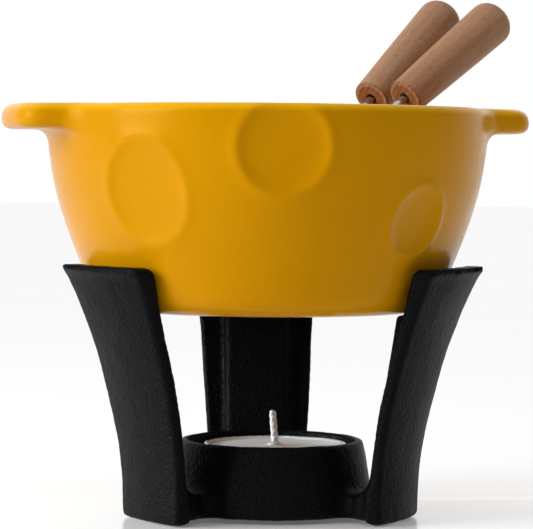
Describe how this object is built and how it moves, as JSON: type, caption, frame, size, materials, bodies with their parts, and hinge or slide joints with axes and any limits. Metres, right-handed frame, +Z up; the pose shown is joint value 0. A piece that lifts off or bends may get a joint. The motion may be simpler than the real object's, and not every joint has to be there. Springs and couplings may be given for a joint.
{
  "type": "fondue pot set",
  "caption": "Small fondue set: a round dimpled pot with two ear handles on a flared three-legged cast stand with a tealight cup, and wood-handled forks resting in the pot.",
  "frame": {"origin": "centre of the stand's flat underside, on the axis of its candle cup, on the table plane", "axes": "+Z up along the candle cup's axis; -Y is the front; the pot's two ears lie roughly along X"},
  "size_m": [0.1392, 0.1277, 0.1398],
  "materials": {
    "black_cast_iron": "matte, fine sand-cast grain",
    "yellow_glaze": "glossy",
    "tealight_aluminium": "bright, thin pressed sheet",
    "wax": "paraffin wax, slightly translucent",
    "sustainer_steel": "plain tin plate",
    "wick_cotton": "waxed braided cotton",
    "beech": "fine-grained, satin",
    "fork_steel": "polished"
  },
  "bodies": {
    "stand": {"stand_casting": "black_cast_iron"},
    "pot": {"pot": "yellow_glaze"},
    "tealight": {"tealight_cup": "tealight_aluminium", "tealight_wax": "wax", "wick_sustainer": "sustainer_steel", "wick": "wick_cotton"},
    "fork_front": {"fork_front_handle": "beech", "fork_front_steel": "fork_steel"},
    "fork_back": {"fork_back_handle": "beech", "fork_back_steel": "fork_steel"}
  },
  "joints": [
    {"name": "pot_lift", "type": "slide", "parent": "stand", "child": "pot", "axis": [0, 0, 1], "range_m": [0, 0.06]},
    {"name": "tealight_lift", "type": "slide", "parent": "stand", "child": "tealight", "axis": [0, 0, 1], "range_m": [0, 0.024]},
    {"name": "fork_front_slide", "type": "slide", "parent": "pot", "child": "fork_front", "axis": [0.6301, 0.5477, 0.5505], "range_m": [0, 0.11]},
    {"name": "fork_back_slide", "type": "slide", "parent": "pot", "child": "fork_back", "axis": [0.5098, 0.6295, 0.5864], "range_m": [0, 0.11]}
  ]
}
